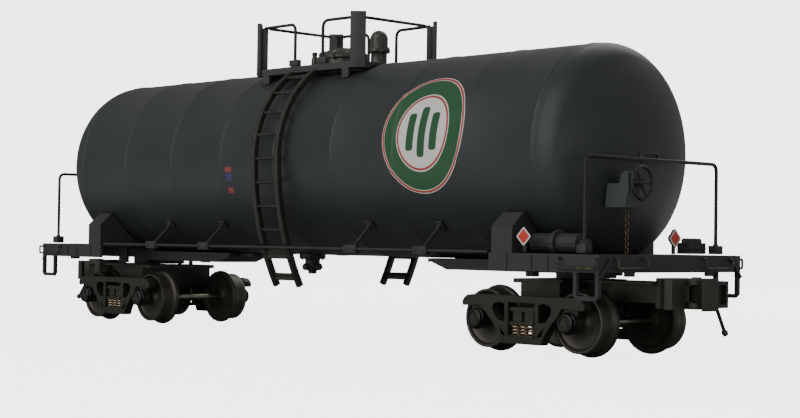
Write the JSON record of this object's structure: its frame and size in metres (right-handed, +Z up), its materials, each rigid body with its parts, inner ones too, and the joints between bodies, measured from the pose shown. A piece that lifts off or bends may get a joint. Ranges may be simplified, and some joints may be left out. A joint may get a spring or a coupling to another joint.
{
  "type": "railway tank car model",
  "caption": "Scale model of a bogie tank car: seamed tank with dished heads, end decks, handrails, side ladders, top platform with manway and valves, sprung swivelling trucks, knuckle couplers",
  "frame": {"origin": "middle of the car between the trucks, at the bottom of the wheel flanges", "axes": "+X to the end with the brake wheel, +Y to the far side in the picture, +Z up"},
  "size_m": [0.3224, 0.0762, 0.1134],
  "materials": {
    "tank_paint": "satin, very dark blue-grey",
    "deck_paint": "matt dark grey",
    "fitting_paint": "satin olive black",
    "truck_casting": "satin black over die-cast metal",
    "wheel_metal": "blackened metal",
    "axle_steel": "bright plain steel",
    "spring_bronze": "bright coil spring",
    "placard_red": "red with a white border, blank",
    "valve_pewter": "satin grey-brown"
  },
  "bodies": {
    "car": {"tank": "tank_paint", "deck_a": "deck_paint", "stub_sill_a": "deck_paint", "end_handrail_a": "fitting_paint", "placard_side_a": "placard_red", "placard_end_a": "placard_red", "deck_b": "deck_paint", "stub_sill_b": "deck_paint", "end_handrail_b": "fitting_paint", "placard_side_b": "placard_red", "placard_end_b": "placard_red", "brake_wheel": "fitting_paint", "brake_housing": "fitting_paint", "brake_chain": "fitting_paint", "brake_cylinder": "deck_paint", "control_valve": "deck_paint", "side_pipe_near": "deck_paint", "side_pipe_far": "deck_paint", "outlet_valve": "fitting_paint", "ladder_near": "fitting_paint", "ladder_far": "fitting_paint", "platform_near": "fitting_paint", "platform_far": "fitting_paint", "platform_post_a_near": "fitting_paint", "platform_post_a_far": "fitting_paint", "platform_end_rail_a": "fitting_paint", "platform_post_b_near": "fitting_paint", "platform_post_b_far": "fitting_paint", "platform_end_rail_b": "fitting_paint", "manway": "valve_pewter", "vent_nozzle": "valve_pewter", "safety_valve": "valve_pewter"},
    "truck_b": {"bolster_b": "truck_casting", "coupler_b": "truck_casting", "sideframe_b_near": "truck_casting", "springs_b_near": "spring_bronze", "sideframe_b_far": "truck_casting", "springs_b_far": "spring_bronze"},
    "knuckle_b": {"knuckle_b": "truck_casting"},
    "wheelset_b_outer": {"wheel_b_outer_near": "wheel_metal", "wheel_b_outer_far": "wheel_metal", "axle_b_outer": "axle_steel"},
    "wheelset_b_inner": {"wheel_b_inner_near": "wheel_metal", "wheel_b_inner_far": "wheel_metal", "axle_b_inner": "axle_steel"},
    "truck_a": {"bolster_a": "truck_casting", "coupler_a": "truck_casting", "sideframe_a_near": "truck_casting", "springs_a_near": "spring_bronze", "sideframe_a_far": "truck_casting", "springs_a_far": "spring_bronze"},
    "knuckle_a": {"knuckle_a": "truck_casting"},
    "wheelset_a_outer": {"wheel_a_outer_near": "wheel_metal", "wheel_a_outer_far": "wheel_metal", "axle_a_outer": "axle_steel"},
    "wheelset_a_inner": {"wheel_a_inner_near": "wheel_metal", "wheel_a_inner_far": "wheel_metal", "axle_a_inner": "axle_steel"}
  },
  "joints": [
    {"name": "truck_b_swivel", "type": "hinge", "parent": "car", "child": "truck_b", "pos_m": [0.1095, 0, 0.0232], "axis": [0, 0, 1], "range_deg": [-20, 20]},
    {"name": "knuckle_b_hinge", "type": "hinge", "parent": "truck_b", "child": "knuckle_b", "pos_m": [0.1526, 0.0044, 0.0198], "axis": [0, 0, 1], "range_deg": [0, 40]},
    {"name": "wheelset_b_outer_spin", "type": "hinge", "parent": "truck_b", "child": "wheelset_b_outer", "pos_m": [0.128, 0, 0.0105], "axis": [0, 1, 0], "continuous": true},
    {"name": "wheelset_b_inner_spin", "type": "hinge", "parent": "truck_b", "child": "wheelset_b_inner", "pos_m": [0.091, 0, 0.0105], "axis": [0, 1, 0], "continuous": true},
    {"name": "truck_a_swivel", "type": "hinge", "parent": "car", "child": "truck_a", "pos_m": [-0.1095, 0, 0.0232], "axis": [0, 0, 1], "range_deg": [-20, 20]},
    {"name": "knuckle_a_hinge", "type": "hinge", "parent": "truck_a", "child": "knuckle_a", "pos_m": [-0.1526, -0.0044, 0.0198], "axis": [0, 0, 1], "range_deg": [0, 40]},
    {"name": "wheelset_a_outer_spin", "type": "hinge", "parent": "truck_a", "child": "wheelset_a_outer", "pos_m": [-0.128, 0, 0.0105], "axis": [0, 1, 0], "continuous": true},
    {"name": "wheelset_a_inner_spin", "type": "hinge", "parent": "truck_a", "child": "wheelset_a_inner", "pos_m": [-0.091, 0, 0.0105], "axis": [0, 1, 0], "continuous": true}
  ]
}
